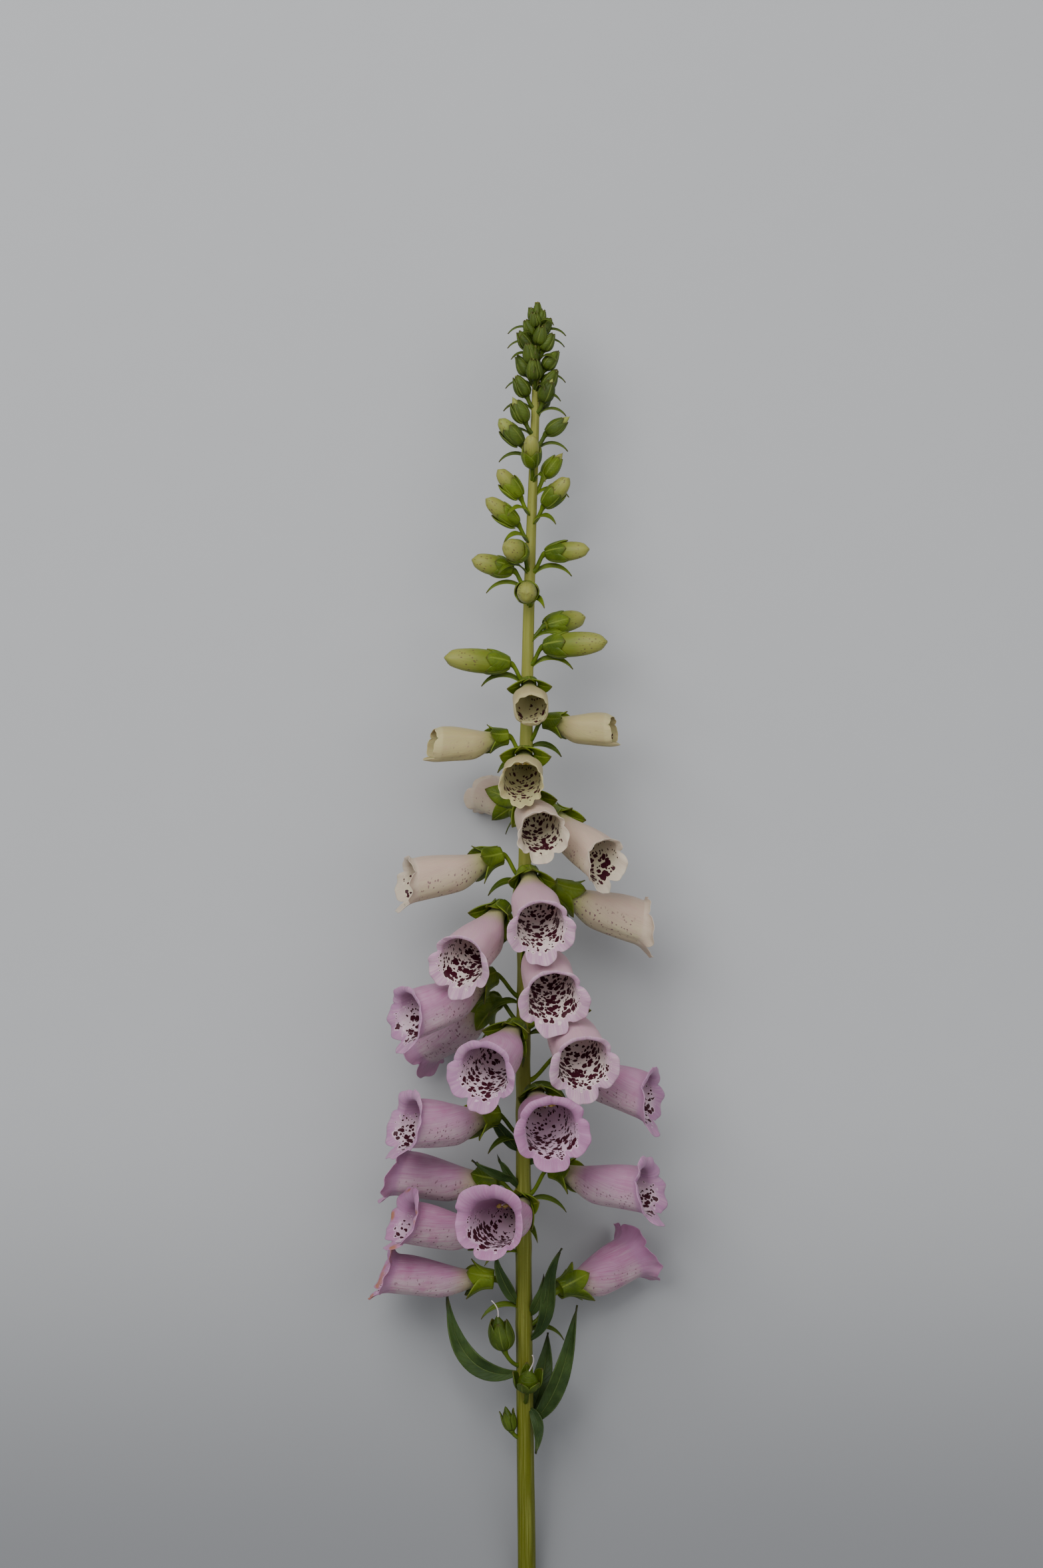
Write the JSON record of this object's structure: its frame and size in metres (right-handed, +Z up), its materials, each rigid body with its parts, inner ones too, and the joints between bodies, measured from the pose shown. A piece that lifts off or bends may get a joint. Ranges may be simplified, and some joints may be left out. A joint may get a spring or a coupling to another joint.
{
  "type": "foxglove flower spike",
  "caption": "Cut foxglove spike lying on a surface: a slender green stem with open spotted pink and cream bells, closed buds towards the tip, seed pods and narrow leaves.",
  "frame": {"origin": "middle of the bounding box in x and y, at its lowest level, which is the surface the spike lies on", "axes": "+Y along the stem from the cut end to the growing tip, +Z up from the surface, +X to the right of someone who looks down with the tip away from them"},
  "size_m": [0.1196, 0.544, 0.0913],
  "materials": {
    "stem_green": "smooth, faintly ribbed, yellow-green",
    "petal_pink": "soft matt petal, pale pink with maroon spots inside",
    "petal_cream": "soft matt petal, cream with maroon spots inside",
    "calyx_green": "matt leaf green",
    "bud_green": "matt, green at the foot to cream at the tip",
    "leaf_green": "matt leaf green, paler veins"
  },
  "bodies": {
    "root": {"stem": "stem_green", "corolla_01": "petal_cream", "calyx_01": "calyx_green", "corolla_02": "petal_cream", "calyx_02": "calyx_green", "corolla_03": "petal_cream", "calyx_03": "calyx_green", "corolla_04": "petal_cream", "calyx_04": "calyx_green", "corolla_05": "petal_pink", "calyx_05": "calyx_green", "corolla_06": "petal_pink", "calyx_06": "calyx_green", "corolla_07": "petal_pink", "calyx_07": "calyx_green", "corolla_08": "petal_pink", "calyx_08": "calyx_green", "corolla_09": "petal_pink", "calyx_09": "calyx_green", "corolla_10": "petal_pink", "calyx_10": "calyx_green", "corolla_11": "petal_pink", "calyx_11": "calyx_green", "corolla_12": "petal_pink", "calyx_12": "calyx_green", "corolla_13": "petal_pink", "calyx_13": "calyx_green", "corolla_14": "petal_pink", "calyx_14": "calyx_green", "corolla_15": "petal_pink", "calyx_15": "calyx_green", "corolla_16": "petal_pink", "calyx_16": "calyx_green", "corolla_17": "petal_pink", "calyx_17": "calyx_green", "corolla_18": "petal_pink", "calyx_18": "calyx_green", "corolla_19": "petal_pink", "calyx_19": "calyx_green", "corolla_20": "petal_pink", "calyx_20": "calyx_green", "corolla_21": "petal_pink", "calyx_21": "calyx_green", "corolla_22": "petal_pink", "calyx_22": "calyx_green", "opening_flower_1": "petal_cream", "opening_flower_2": "petal_cream", "opening_flower_3": "petal_cream", "bud_1": "bud_green", "bud_2": "bud_green", "bud_3": "bud_green", "bud_4": "bud_green", "bud_5": "bud_green", "seed_pod_left": "calyx_green", "seed_pod_front": "calyx_green", "leaf_left": "leaf_green", "leaf_right_low": "leaf_green", "leaf_right_high": "leaf_green", "leaf_right_back": "leaf_green"}
  },
  "joints": []
}
